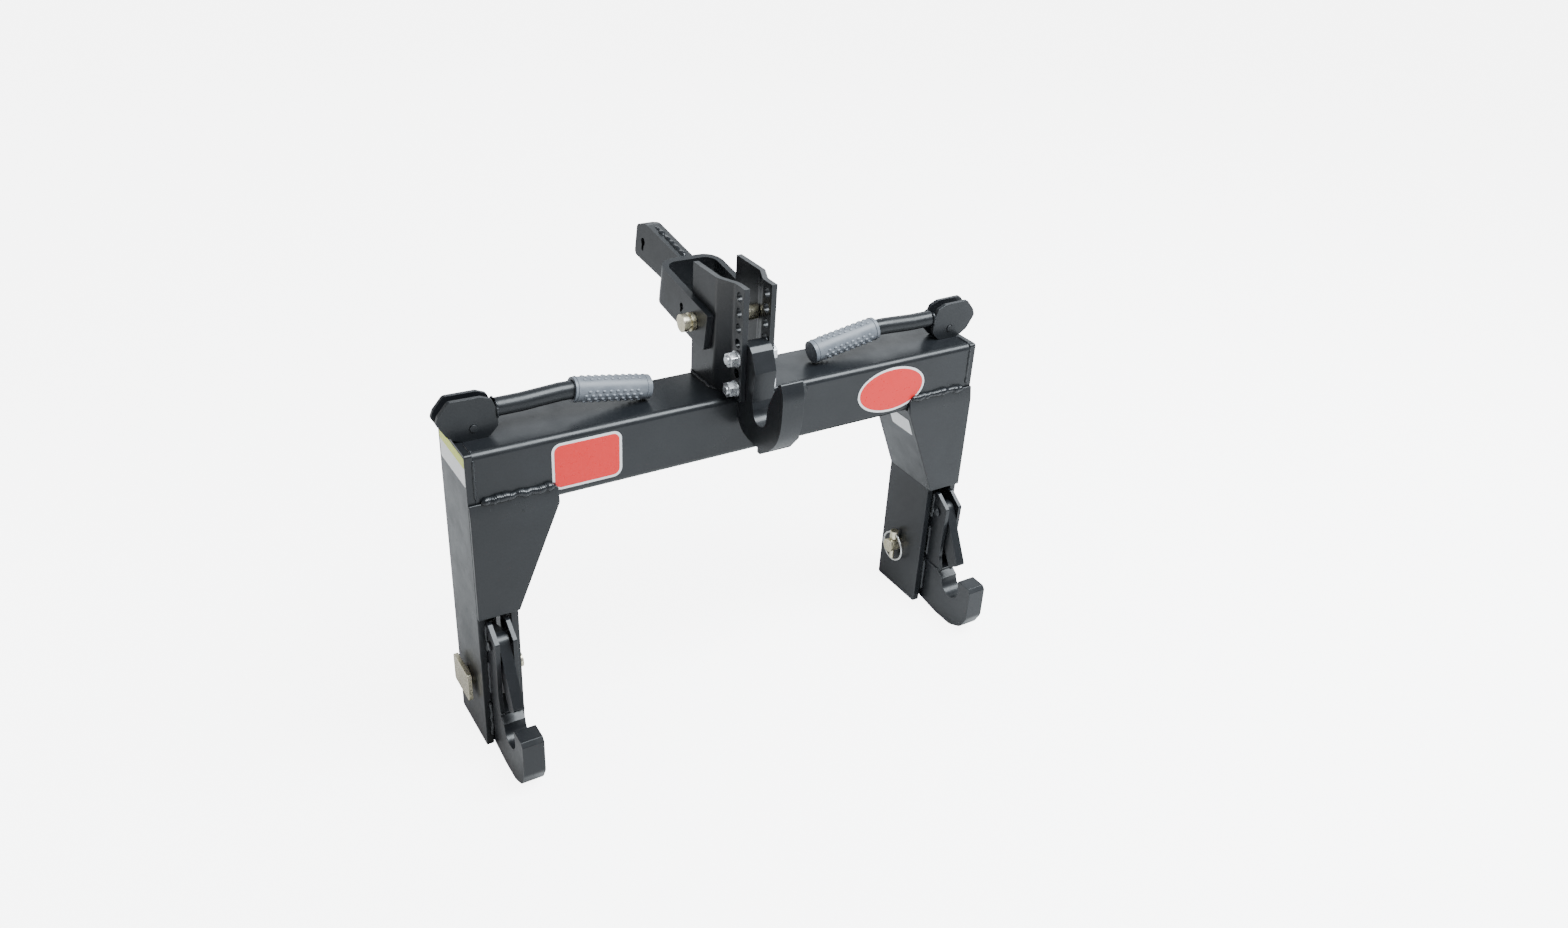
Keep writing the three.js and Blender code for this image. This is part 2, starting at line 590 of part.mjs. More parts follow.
add('beam_tube', beamTube(), PAINT);
add('top_hook', topHook(), PAINT);
add('backing_plate', backingPlate(), PAINT);
add('mast_spacer', mastSpacer(), YELLOW_ZINC);
add('bracket_strap', bracketStrap(), PAINT);
add('top_link_pin', topLinkPin(), YELLOW_ZINC);
add('top_lynch_pin', lynchPin(57, TOP_PIN, TOP_PIN_R), YELLOW_ZINC);
add('top_lynch_ring', springRing(57, TOP_PIN, TOP_PIN_R), SPRING_STEEL);
[['lower', 0], ['upper', 2]].forEach(([label, place]) => {
  const z = HOLE_Z + place * HOLE_PITCH;
  add(`${label}_hook_bolt`, hookBolt(z), ZINC);
  add(`${label}_hook_washer`, hookWasher(z), ZINC);
  add(`${label}_hook_nut`, hookNut(z), ZINC);
});
[['left', -1], ['right', 1]].forEach(([label, side]) => {
  add(`${label}_outer_side_plate`, outerSidePlate(side), PAINT);
  add(`${label}_inner_leg_plate`, innerLegPlate(side), PAINT);
  add(`${label}_gusset`, gusset(side), PAINT);
  add(`${label}_lower_hook`, lowerHook(side), PAINT);
  add(`${label}_outer_ear`, ear(side, (HOOK_WIDTH - EAR) / 2), PAINT);
  add(`${label}_inner_ear`, ear(side, (EAR - HOOK_WIDTH) / 2), PAINT);
  add(`${label}_mast_plate`, mastPlate(side), PAINT);
  add(`${label}_tongue_ply`, tonguePly(side), PAINT);
  add(`${label}_link_pin`, lowerLinkPin(side), YELLOW_ZINC);
  add(`${label}_lynch_pin`, lynchPin(side * LYNCH_X, LINK_PIN, LINK_PIN_R), YELLOW_ZINC);
  add(`${label}_lynch_ring`, springRing(side * LYNCH_X, LINK_PIN, LINK_PIN_R), SPRING_STEEL);
  add(`${label}_latch`, latch(side), PAINT);
  add(`${label}_latch_pivot_pin`, latchPivotPin(side), PAINT);
  add(`${label}_lift_rod`, liftRod(side), ZINC);
  add(`${label}_tail_pin`, tailPin(side), ZINC);
  add(`${label}_spring_seat`, springSeat(side), ZINC);
  add(`${label}_rod_spring`, rodSpring(side), SPRING_STEEL);
  add(`${label}_front_lever_cheek`, leverCheek(side, LIFT_Y - 12), PAINT);
  add(`${label}_rear_lever_cheek`, leverCheek(side, LIFT_Y + 6.5), PAINT);
  add(`${label}_lever_pivot_pin`, leverPivotPin(side), PAINT);
  add(`${label}_lever_tube`, leverTube(side), PAINT);
  add(`${label}_lever_grip`, leverGrip(side), RUBBER);
});

export default group;
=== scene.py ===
import json
import math
import random

import bmesh
import bpy
from mathutils import Matrix, Vector, noise


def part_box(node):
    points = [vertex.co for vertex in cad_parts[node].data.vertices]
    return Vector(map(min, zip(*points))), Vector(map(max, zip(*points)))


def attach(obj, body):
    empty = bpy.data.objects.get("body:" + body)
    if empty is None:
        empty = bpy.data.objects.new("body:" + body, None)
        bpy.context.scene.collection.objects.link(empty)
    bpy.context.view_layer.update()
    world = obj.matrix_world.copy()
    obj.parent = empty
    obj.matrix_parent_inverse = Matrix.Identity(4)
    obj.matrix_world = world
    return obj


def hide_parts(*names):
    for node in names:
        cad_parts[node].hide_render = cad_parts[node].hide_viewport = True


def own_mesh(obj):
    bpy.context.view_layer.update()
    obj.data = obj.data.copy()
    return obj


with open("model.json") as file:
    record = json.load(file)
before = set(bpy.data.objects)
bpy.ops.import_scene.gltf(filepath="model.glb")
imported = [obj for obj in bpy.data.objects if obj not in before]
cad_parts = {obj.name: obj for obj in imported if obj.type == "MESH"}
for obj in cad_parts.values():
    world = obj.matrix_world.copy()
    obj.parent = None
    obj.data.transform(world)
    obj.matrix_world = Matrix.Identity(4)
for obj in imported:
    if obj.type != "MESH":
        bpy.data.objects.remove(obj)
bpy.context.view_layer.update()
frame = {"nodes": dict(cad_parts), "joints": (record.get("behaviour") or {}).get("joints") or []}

SIDES = (("left", -1), ("right", 1))
CIRCLE = 2 * math.pi


# ---- places taken from the CAD -----------------------------------------------------------------
def low(node):
    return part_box(node)[0]


def high(node):
    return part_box(node)[1]


def middle(node):
    return (low(node) + high(node)) / 2


BEAM_LOW = low("beam_tube")
BEAM_HIGH = high("beam_tube")
FACE_Y = BEAM_LOW.y
TOP_Z = BEAM_HIGH.z
BRACKET_TILT = math.radians(9)  # how far the bracket rises toward its back, at rest


def joint_place(name):
    for joint in frame["joints"]:
        if joint["name"] == name:
            return Vector(joint["pos_m"])
    raise ValueError(name)


# ---- materials ---------------------------------------------------------------------------------
class Nodes:
    """A material's node tree with short ways to add and link nodes."""

    def __init__(self, name):
        self.material = bpy.data.materials.new(name)
        self.material.use_nodes = True
        self.tree = self.material.node_tree
        self.shader = self.tree.nodes["Principled BSDF"]
        self.coords = self.add("ShaderNodeTexCoord").outputs["Object"]

    def add(self, kind, **values):
        node = self.tree.nodes.new(kind)
        for key, value in values.items():
            setattr(node, key, value)
        return node

    def link(self, source, target):
        self.tree.links.new(source, target)

    def noise(self, scale, detail=3.0, roughness=0.5, distortion=0.0, stretch=None):
        node = self.add("ShaderNodeTexNoise")
        node.inputs["Scale"].default_value = scale
        node.inputs["Detail"].default_value = detail
        node.inputs["Roughness"].default_value = roughness
        node.inputs["Distortion"].default_value = distortion
        source = self.coords
        if stretch:
            mapping = self.add("ShaderNodeMapping")
            mapping.inputs["Scale"].default_value = stretch
            self.link(source, mapping.inputs["Vector"])
            source = mapping.outputs["Vector"]
        self.link(source, node.inputs["Vector"])
        return node.outputs["Fac"]

    def voronoi(self, scale, output):
        node = self.add("ShaderNodeTexVoronoi", feature="F1")
        node.inputs["Scale"].default_value = scale
        self.link(self.coords, node.inputs["Vector"])
        return node.outputs[output]

    def remap(self, source, a, b, c, d):
        node = self.add("ShaderNodeMapRange")
        for key, value in zip(("From Min", "From Max", "To Min", "To Max"), (a, b, c, d)):
            node.inputs[key].default_value = value
        self.link(source, node.inputs["Value"])
        return node.outputs["Result"]

    def math(self, operation, a, b):
        node = self.add("ShaderNodeMath", operation=operation)
        for place, value in enumerate((a, b)):
            if isinstance(value, (int, float)):
                node.inputs[place].default_value = value
            else:
                self.link(value, node.inputs[place])
        return node.outputs["Value"]

    def mix(self, factor, a, b):
        node = self.add("ShaderNodeMix", data_type="RGBA")
        self.link(factor, node.inputs[0])
        for place, value in ((6, a), (7, b)):
            if isinstance(value, tuple):
                node.inputs[place].default_value = (*value, 1.0)
            else:
                self.link(value, node.inputs[place])
        return node.outputs[2]

    def ramp(self, source, stops):
        node = self.add("ShaderNodeValToRGB")
        band = node.color_ramp
        while len(band.elements) < len(stops):
            band.elements.new(0.5)
        for element, (place, colour) in zip(band.elements, stops):
            element.position = place
            element.color = (*colour, 1.0)
        self.link(source, node.inputs["Fac"])
        return node.outputs["Color"]

    def bump(self, height, strength, distance, normal=None):
        node = self.add("ShaderNodeBump")
        node.inputs["Strength"].default_value = strength
        node.inputs["Distance"].default_value = distance
        self.link(height, node.inputs["Height"])
        if normal:
            self.link(normal, node.inputs["Normal"])
        return node.outputs["Normal"]

    def edge_mask(self, radius):
        """Near 1 along rounded or sharp edges and 0 on open faces."""
        bevel = self.add("ShaderNodeBevel", samples=4)
        bevel.inputs["Radius"].default_value = radius
        geometry = self.add("ShaderNodeNewGeometry")
        dot = self.add("ShaderNodeVectorMath", operation="DOT_PRODUCT")
        self.link(bevel.outputs["Normal"], dot.inputs[0])
        self.link(geometry.outputs["Normal"], dot.inputs[1])
        return self.remap(dot.outputs["Value"], 0.995, 0.90, 0.0, 1.0)

    def set(self, **values):
        for key, value in values.items():
            socket = self.shader.inputs[key.replace("_", " ")]
            if isinstance(value, (int, float)):
                socket.default_value = value
            elif isinstance(value, tuple):
                socket.default_value = (*value, 1.0)
            else:
                self.link(value, socket)
        return self.material


def paint(name, base, worn, rough=(0.27, 0.42), wear=0.35):
    """Charcoal enamel: faint cloudiness, orange peel, scuffs and thin paint along the edges."""
    n = Nodes(name)
    cloud = n.noise(7, 4)
    tone = tuple(min(1.0, c * 1.35 + 0.002) for c in base)
    colour = n.mix(n.remap(cloud, 0.35, 0.7, 0.0, 1.0), base, tone)
    patches = n.remap(n.noise(160, 5, 0.62), 0.42, 0.68, 0.0, 1.0)
    edge = n.math("MULTIPLY", n.edge_mask(0.0016), patches)
    colour = n.mix(n.math("MULTIPLY", edge, wear), colour, worn)
    scuff = n.remap(n.noise(55, 6, 0.7, 1.2, (1.0, 1.0, 3.0)), 0.60, 0.74, 0.0, 1.0)
    colour = n.mix(n.math("MULTIPLY", scuff, 0.06), colour, worn)
    gloss = n.remap(n.noise(26, 5, 0.6), 0.3, 0.7, *rough)
    roughness = n.math("ADD", gloss, n.math("MULTIPLY", scuff, 0.12))
    peel = n.bump(n.noise(520, 2, 0.45), 0.10, 0.0004)
    runs = n.bump(n.noise(38, 3, 0.5), 0.05, 0.002, peel)
    return n.set(Base_Color=colour, Roughness=roughness, Normal=runs, Metallic=0.0,
                 Coat_Weight=0.10, Coat_Roughness=0.15, Specular_IOR_Level=0.42)


def plated(name, stops, rough=(0.22, 0.38), bump=0.12):
    """Zinc plate: fine crystal tone changes, brushed roughness and faint machining."""
    n = Nodes(name)
    cells = n.voronoi(420, output="Color")
    grain = n.remap(n.noise(70, 5, 0.6, 0.8), 0.3, 0.7, 0.0, 1.0)
    colour = n.ramp(grain, stops)
    separate = n.add("ShaderNodeSeparateColor")
    n.link(cells, separate.inputs["Color"])
    spangle = separate.outputs["Red"]
    darker = tuple(c * 0.78 for c in stops[0][1])
    colour = n.mix(n.math("MULTIPLY", spangle, 0.28), colour, darker)
    roughness = n.remap(n.noise(240, 4, 0.6), 0.3, 0.7, *rough)
    return n.set(Base_Color=colour, Roughness=roughness, Metallic=0.92,
                 Normal=n.bump(n.noise(900, 2), bump, 0.0002))


def wire(name, tone):
    """Spring wire: drawn lines, dull spots and a light oil bloom."""
    n = Nodes(name)
    spots = n.remap(n.noise(150, 5, 0.65), 0.38, 0.7, 0.0, 1.0)
    colour = n.mix(spots, tone, tuple(c * 0.55 for c in tone))
    return n.set(Base_Color=colour, Roughness=n.remap(spots, 0.0, 1.0, 0.24, 0.45), Metallic=0.95,
                 Normal=n.bump(n.noise(1100, 2), 0.1, 0.0002))


def moulded(name, base, light):
    """Soft vinyl: dusty lighter patches and a painted sheen along the edges, over a fine matte
    grain.
    """
    n = Nodes(name)
    dust = n.remap(n.noise(48, 6, 0.65), 0.42, 0.75, 0.0, 1.0)
    edge = n.edge_mask(0.0012)
    colour = n.mix(n.math("MULTIPLY", dust, 0.45), base, light)
    # Painted sheen: the vinyl is made lighter along all its edges.
    colour = n.mix(n.math("MULTIPLY", edge, 0.30), colour, light)
    roughness = n.remap(dust, 0.0, 1.0, 0.36, 0.55)
    return n.set(Base_Color=colour, Roughness=roughness, Specular_IOR_Level=0.5,
                 Normal=n.bump(n.noise(1400, 3, 0.6), 0.16, 0.00025))


def printed(name, colour, fade, rough=0.32):
    """Printed vinyl film: faint ink mottle, small scratches and a slight ripple."""
    n = Nodes(name)
    mottle = n.remap(n.noise(210, 4, 0.6), 0.35, 0.7, 0.0, 1.0)
    scratch = n.remap(n.noise(90, 6, 0.75, 2.0, (1.0, 1.0, 8.0)), 0.66, 0.74, 0.0, 1.0)
    tone = n.mix(n.math("MULTIPLY", mottle, 0.35), colour, fade)
    tone = n.mix(n.math("MULTIPLY", scratch, 0.25), tone, (0.75, 0.74, 0.72))
    roughness = n.remap(mottle, 0.0, 1.0, rough - 0.05, rough + 0.10)
    return n.set(Base_Color=tone, Roughness=roughness,
                 Normal=n.bump(n.noise(60, 2), 0.06, 0.0006))


PAINT = paint("charcoal_enamel", (0.0078, 0.0088, 0.0105), (0.085, 0.095, 0.105))
BEAD_PAINT = paint("enamel_on_weld", (0.0100, 0.0112, 0.0132), (0.17, 0.18, 0.19),
                   rough=(0.10, 0.20), wear=0.45)
ZINC = plated("bright_zinc", [(0.0, (0.66, 0.67, 0.69)), (1.0, (0.86, 0.87, 0.88))])
YELLOW = plated("yellow_zinc", [(0.0, (0.62, 0.56, 0.37)), (0.55, (0.78, 0.73, 0.55)),
                                (1.0, (0.80, 0.70, 0.60))])
SPRING = wire("spring_wire", (0.55, 0.56, 0.57))
RING = wire("ring_wire", (0.78, 0.78, 0.76))
RUBBER = moulded("grip_vinyl", (0.130, 0.142, 0.162), (0.26, 0.275, 0.30))
# The nubs are the sleeve's own vinyl; their lighter colour is a painted highlight on the raised
# nubs.
NUB_PAINTED_HIGHLIGHT = moulded("nub_vinyl_painted_highlight", (0.185, 0.200, 0.225), (0.34, 0.36, 0.39))
RED = printed("red_film", (0.80, 0.011, 0.011), (0.84, 0.022, 0.020))
WHITE = printed("white_film", (0.86, 0.86, 0.85), (0.78, 0.78, 0.77))
LIME = printed("lime_film", (0.68, 0.76, 0.06), (0.74, 0.80, 0.14))


def finish_for(node):
    if node.endswith("grip"):
        return RUBBER
    if node.endswith("lynch_ring"):
        return RING
    if node.endswith("rod_spring"):
        return SPRING
    if "link_pin" in node or "lynch_pin" in node or node == "mast_spacer":
        return YELLOW
    if node.endswith(("_bolt", "_nut", "_washer", "tail_pin")):
        return ZINC
    return PAINT


# Edge rounding in metres for the nodes that aren't the usual flame cut plate.
ROUNDING = {
    "lynch_ring": 0, "rod_spring": 0, "washer": 0.0004, "bolt": 0.0008, "nut": 0.0008,
    "lynch_pin": 0.0007, "link_pin": 0.0009, "pivot_pin": 0.0007, "tail_pin": 0.0006,
    "mast_spacer": 0.0006, "lever_grip": 0.0035, "lever_cheek": 0.0007, "ear": 0.0009,
    "lower_hook": 0.0016, "top_hook": 0.0016, "latch": 0.0013, "bracket_strap": 0.0012,
    "tongue_ply": 0.0012, "gusset": 0.0012,
}
USUAL_ROUNDING = 0.0010
SAME_POINT = 0.00002            # corners nearer than this are one corner
SAME_FACE = math.radians(0.8)   # faces that turn less than this are one face
SHARP_EDGE = math.radians(33)   # edges that turn more than this are rounded


def rounding_for(node):
    for ending, width in ROUNDING.items():
        if node.endswith(ending):
            return width
    return USUAL_ROUNDING


def dress(node, obj):
    """Gives a CAD node its material, smooth shading and, by modifiers only, rounded edges."""
    obj.data.materials.clear()
    obj.data.materials.append(finish_for(node))
    custom = obj.data.attributes.get("custom_normal")
    if custom:
        obj.data.attributes.remove(custom)
    obj.data.polygons.foreach_set("use_smooth", [True] * len(obj.data.polygons))
    weld = obj.modifiers.new("weld", "WELD")
    weld.merge_threshold = SAME_POINT
    width = rounding_for(node)
    if width:
        flat = obj.modifiers.new("flat", "DECIMATE")
        flat.decimate_type = "DISSOLVE"
        flat.angle_limit = SAME_FACE
        bevel = obj.modifiers.new("bevel", "BEVEL")
        bevel.width = width
        bevel.segments = 3
        bevel.limit_method = "ANGLE"
        bevel.angle_limit = SHARP_EDGE
        bevel.use_clamp_overlap = True
        bevel.miter_outer = "MITER_ARC"
        weighted = obj.modifiers.new("weighted", "WEIGHTED_NORMAL")
        weighted.keep_sharp = True
        weighted.weight = 60


for node_name, node_object in frame["nodes"].items():
    dress(node_name, node_object)


# ---- making pieces -----------------------------------------------------------------------------
def piece(name, mesh, body, material, smooth=True):
    obj = bpy.data.objects.new(name, mesh)
    bpy.context.scene.collection.objects.link(obj)
    mesh.materials.append(material)
    mesh.polygons.foreach_set("use_smooth", [smooth] * len(mesh.polygons))
    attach(obj, body)
    return obj


def mesh_from(name, points, faces):
    mesh = bpy.data.meshes.new(name)
    mesh.from_pydata([tuple(p) for p in points], [], faces)
    mesh.update()
    return mesh


def resample(points, step):
    """Points spaced evenly along a polyline."""
    points = [Vector(p) for p in points]
    lengths = [(b - a).length for a, b in zip(points, points[1:])]
    total = sum(lengths)
    count = max(2, int(round(total / step)))
    result = []
    for i in range(count + 1):
        distance = total * i / count
        for a, b, length in zip(points, points[1:], lengths):
            if distance <= length or (b - points[-1]).length < 1e-9:
                result.append(a.lerp(b, min(1.0, distance / length) if length else 0.0))
                break
            distance -= length
    return result


def sweep(centres, radii, segments=10, closed=False, squash=(1.0, 1.0), up=Vector((0, 0, 1))):
    """Points and faces of a tube through centres, with one radius for each centre."""
    count = len(centres)
    points = []
    for i, centre in enumerate(centres):
        before = centres[(i - 1) % count if closed else max(0, i - 1)]
        after = centres[(i + 1) % count if closed else min(count - 1, i + 1)]
        tangent = (after - before).normalized()
        hint = up if abs(tangent.dot(up)) < 0.95 else Vector((0, 1, 0))
        side = tangent.cross(hint).normalized()
        top = side.cross(tangent).normalized()
        for k in range(segments):
            angle = CIRCLE * k / segments
            points.append(centre + radii[i] * (squash[0] * math.cos(angle) * side
                                               + squash[1] * math.sin(angle) * top))
    faces = []
    for i in range(count if closed else count - 1):
        j = (i + 1) % count
        for k in range(segments):
            m = (k + 1) % segments
            faces.append((i * segments + k, j * segments + k, j * segments + m, i * segments + m))
    if not closed:
        faces.append(tuple(range(segments)))
        faces.append(tuple(reversed(range((count - 1) * segments, count * segments))))
    return points, faces


def gather(parts):
    """Joins several (points, faces) lists into one."""
    points = []
    faces = []
    for some_points, some_faces in parts:
        start = len(points)
        points.extend(some_points)
        faces.extend(tuple(start + i for i in face) for face in some_faces)
    return points, faces


# ---- weld beads --------------------------------------------------------------------------------
RIPPLE = 0.0023    # length of one ripple along a run
BEAD_STEP = 0.0007
WIDTH_NOISE = 120  # changes of noise in a metre, for a run's width
PATH_NOISE = 110   # and for its centre line
SUNK = 0.0004      # how far a fine run's centre line is from the seam's own faces


def bead_part(path, radius, seed, flat=1.0, wander=0.16):
    """One run of weld: overlapping ripples, uneven width and a wandering centre line."""
    centres = resample(path, BEAD_STEP)
    rng = random.Random(seed)
    phase = rng.random() * 50
    length = sum((b - a).length for a, b in zip(centres, centres[1:]))
    step = length / (len(centres) - 1)
    radii = []
    moved = []
    for i, centre in enumerate(centres):
        run = i * step
        saw = (run / RIPPLE + phase) % 1.0
        ripple = 0.92 + 0.12 * math.sin(math.pi * saw) ** 0.6
        slow = 1.0 + 0.34 * noise.noise(Vector((run * WIDTH_NOISE, phase, 0.0)))
        end = min(1.0, (run + 0.0006) / (radius * 1.3), (length - run + 0.0006) / (radius * 1.3))
        radii.append(radius * ripple * slow * math.sqrt(max(0.08, end)))
        shift = Vector([noise.noise(Vector((run * PATH_NOISE, phase, layer)))
                        for layer in (3.0, 7.0, 11.0)])
        moved.append(centre + shift * radius * wander)
    return sweep(moved, radii, 10, squash=(1.0, flat))


def bead(name, body, runs, radius, seed, flat=1.0, wander=0.16):
    parts = [bead_part(run, radius, seed + i, flat, wander) for i, run in enumerate(runs)]
    points, faces = gather(parts)
    return piece(name, mesh_from(name, points, faces), body, BEAD_PAINT)


def blob(centre, radii, seed, rings=5, segments=8):
    """A small uneven drop of metal."""
    rng = random.Random(seed)
    offset = rng.random() * 40
    points = []
    for i in range(rings + 1):
        polar = math.pi * i / rings
        for k in range(segments):
            angle = CIRCLE * k / segments
            way = Vector((math.sin(polar) * math.cos(angle), math.sin(polar) * math.sin(angle),
                          math.cos(polar)))
            swell = 1.0 + 0.18 * noise.noise(way * 1.7 + Vector((offset, 0, 0)))
            points.append(Vector(centre) + Vector((way.x * radii[0], way.y * radii[1],
                                                   way.z * radii[2])) * swell)
    faces = []
    for i in range(rings):
        for k in range(segments):
            m = (k + 1) % segments
            faces.append((i * segments + k, (i + 1) * segments + k,
                          (i + 1) * segments + m, i * segments + m))
    return points, faces


def merged(mesh):
    """Closes the doubled points at a blob's poles and turns its faces outward."""
    work = bmesh.new()
    work.from_mesh(mesh)
    bmesh.ops.remove_doubles(work, verts=work.verts, dist=1e-6)
    bmesh.ops.dissolve_degenerate(work, edges=work.edges, dist=1e-7)
    bmesh.ops.recalc_face_normals(work, faces=work.faces)
    work.to_mesh(mesh)
    work.free()
    return mesh


def spatter(name, body, spots):
    """Small drops, each as (place, radius)."""
    parts = [blob(place, (r, r, r), i + 3) for i, (place, r) in enumerate(spots)]
    points, faces = gather(parts)
    return piece(name, merged(mesh_from(name, points, faces)), body, BEAD_PAINT)


def side_plate_face(side_name, side):
    """Distance of a leg's outer face from the middle of the hitch."""
    plate = f"{side_name}_outer_side_plate"
    return high(plate).x if side > 0 else -low(plate).x


def gusset_beads(side_name, side):
    """The heavy run where a gusset laps the beam, and the spatter round it."""
    gusset_low, gusset_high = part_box(f"{side_name}_gusset")
    outer = side_plate_face(side_name, side)
    inner = gusset_low.x if side > 0 else -gusset_high.x
    lap_z = gusset_high.z
    seam_y = FACE_Y - 0.0018
    run = [(side * (inner + 0.003), seam_y, lap_z + 0.0012),
           (side * (outer - 0.016), seam_y, lap_z + 0.0008)]
    bead(f"{side_name}_gusset_top_bead", "frame", [run],
         radius=0.0050, seed=11 + side, wander=0.45)
    rng = random.Random(40 + side)
    spots = []
    for _ in range(9):
        x = side * rng.uniform(inner + 0.004, outer - 0.006)
        z = lap_z - rng.uniform(0.004, 0.026)
        y = gusset_low.y + 0.0001 if z < lap_z - 0.02 else FACE_Y - 0.0046
        spots.append(((x, y, z), rng.uniform(0.0006, 0.0012)))
    for _ in range(4):
        x = side * rng.uniform(inner + 0.01, outer - 0.006)
        spots.append(((x, FACE_Y, lap_z + rng.uniform(0.005, 0.012)), rng.uniform(0.0004, 0.0008)))
    spatter(f"{side_name}_gusset_spatter", "frame", spots)


def beam_end_beads(side_name, side):
    """Fine runs where the beam meets a side plate, round its front, top and back."""
    lap_z = high(f"{side_name}_gusset").z
    edge = side * (side_plate_face(side_name, side) - 0.0100)
    top = TOP_Z - 0.0002
    front = [(edge, FACE_Y + SUNK, lap_z + 0.006), (edge, FACE_Y + SUNK, TOP_Z - 0.008)]
    top_front = [(edge, FACE_Y + 0.006, top), (edge, FACE_Y + 0.030, top)]
    top_back = [(edge, BEAM_HIGH.y - 0.034, top), (edge, BEAM_HIGH.y - 0.008, top)]
    back = [(edge, BEAM_HIGH.y, BEAM_LOW.z + 0.010), (edge, BEAM_HIGH.y, TOP_Z - 0.010)]
    bead(f"{side_name}_beam_end_bead", "frame", [front, top_front, top_back, back],
         radius=0.0019, seed=60 + side)


def upright(x, y, foot, top):
    """A straight run of weld up a corner."""
    return [(x, y, foot), (x, y, top)]


def hook_beads(side_name, side):
    hook_low, hook_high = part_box(f"{side_name}_lower_hook")
    plate_y = low(f"{side_name}_outer_side_plate").y
    inner_x = side * (min(abs(hook_low.x), abs(hook_high.x)) - 0.0022)
    outer_x = side * (max(abs(hook_low.x), abs(hook_high.x)) + 0.0012)
    runs = [upright(inner_x, plate_y - SUNK, 0.022, 0.077),
            upright(outer_x, plate_y - SUNK, 0.018, 0.075)]
    bead(f"{side_name}_hook_bead", "frame", runs, radius=0.0029, seed=80 + side, wander=0.35)


def ear_beads(side_name, side):
    """Runs along the feet of both ears, and up the corners between the ears and the leg."""
    hook_x = middle(f"{side_name}_lower_hook").x
    plate_y = low(f"{side_name}_outer_side_plate").y
    feet = []
    seams = []
    for which in ("outer_ear", "inner_ear"):
        a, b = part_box(f"{side_name}_{which}")
        away = -1 if (a.x + b.x) / 2 < hook_x else 1
        face = a.x if away < 0 else b.x
        if which == "inner_ear":
            foot_x = face + away * SUNK
            feet.append([(foot_x, a.y + 0.004, a.z), (foot_x, plate_y + 0.004, a.z)])
        feet.append([(a.x + SUNK, a.y, a.z + 0.0002), (b.x - SUNK, a.y, a.z + 0.0002)])
        seams.append(upright(face, plate_y - 0.0006, a.z + 0.010, a.z + 0.064))
        seams.append(upright(face, plate_y - 0.0006, b.z - 0.046, b.z - 0.003))
    bead(f"{side_name}_ear_foot_bead", "frame", feet, radius=0.0019, seed=90 + side)
    bead(f"{side_name}_ear_bead", "frame", seams, radius=0.0022, seed=100 + side, wander=0.35)


def pivot_weld(side_name):
    """Low caps of weld over both ends of the latch pivot pin."""
    pin_low, pin_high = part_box(f"{side_name}_latch_pivot_pin")
    pin = (pin_low + pin_high) / 2
    ends = (pin_low.x + SUNK, pin_high.x - SUNK)
    parts = [blob((x, pin.y, pin.z), (0.0017, 0.0068, 0.0068), 31 + i, 8, 18)
             for i, x in enumerate(ends)]
    name = f"{side_name}_pivot_weld"
    points, faces = gather(parts)
    piece(name, merged(mesh_from(name, points, faces)), "frame", BEAD_PAINT)


def lever_beads(side_name, side):
    """Two arcs round a lever tube where it meets the ends of its cheeks."""
    tube_radius = 0.0125
    axis_z = TOP_Z + 0.0320
    axis_y = middle(f"{side_name}_lever_tube").y
    front_low, front_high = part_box(f"{side_name}_front_lever_cheek")
    x = side * (min(abs(front_low.x), abs(front_high.x)) + 0.0002)
    runs = []
    for middle_angle in (math.pi, 0.0):
        run = []
        for k in range(17):
            angle = middle_angle + math.radians(-62 + 124 * k / 16)
            run.append((x, axis_y + tube_radius * math.cos(angle),
                        axis_z + tube_radius * math.sin(angle)))
        runs.append(run)
    bead(f"{side_name}_lever_bead", f"{side_name}_lever", runs,
         radius=0.0023, seed=120 + side, wander=0.25)


MAST_THICKNESS = 0.008


def mast_beads(side_name, side):
    """A run along the foot of a mast plate, following its bends, and one across its rear end."""
    a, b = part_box(f"{side_name}_mast_plate")
    outer = max(abs(a.x), abs(b.x))
    inner = min(abs(a.x), abs(b.x))
    front_x = side * (inner + MAST_THICKNESS + 0.0010)
    rear_x = side * (outer + 0.0010)
    foot_z = TOP_Z + 0.0008
    path = [(front_x, FACE_Y + 0.006, foot_z), (front_x, a.y + 0.036, foot_z),
            (rear_x, a.y + 0.056, foot_z), (rear_x, b.y - 0.002, foot_z)]
    bead(f"{side_name}_mast_bead", "frame", [path], radius=0.0027, seed=140 + side, wander=0.3)
    tail = [(side * (outer - MAST_THICKNESS), b.y + 0.0006, TOP_Z + 0.0006),
            (side * outer, b.y + 0.0006, TOP_Z + 0.0006)]
    bead(f"{side_name}_mast_tail_bead", "frame", [tail], radius=0.0024, seed=150 + side)


def backing_plate_bead():
    a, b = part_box("backing_plate")
    across = [(a.x + 0.012, FACE_Y - 0.0010, b.z + 0.0002),
              (b.x - 0.002, FACE_Y - 0.0010, b.z + 0.0002)]
    down = [(b.x + SUNK, FACE_Y - 0.0006, b.z - 0.004),
            (b.x - 0.0052, FACE_Y - 0.0006, a.z + 0.014)]
    bead("backing_plate_bead", "frame", [across, down], radius=0.0042, seed=160, wander=0.25)


def on_bracket(x, along, above):
    """A place given along and above the bracket's own middle line, from its pin."""
    turn = Matrix.Rotation(BRACKET_TILT, 3, "X")
    pin = joint_place("top_bracket_hinge")
    return pin + turn @ Vector((x, along, above))


TONGUE_ROOT = 0.1176  # from the top pin to the back of the strap, where the tongue leaves it
TONGUE_FACE = 0.0116  # just outside the flat sides of the tongue


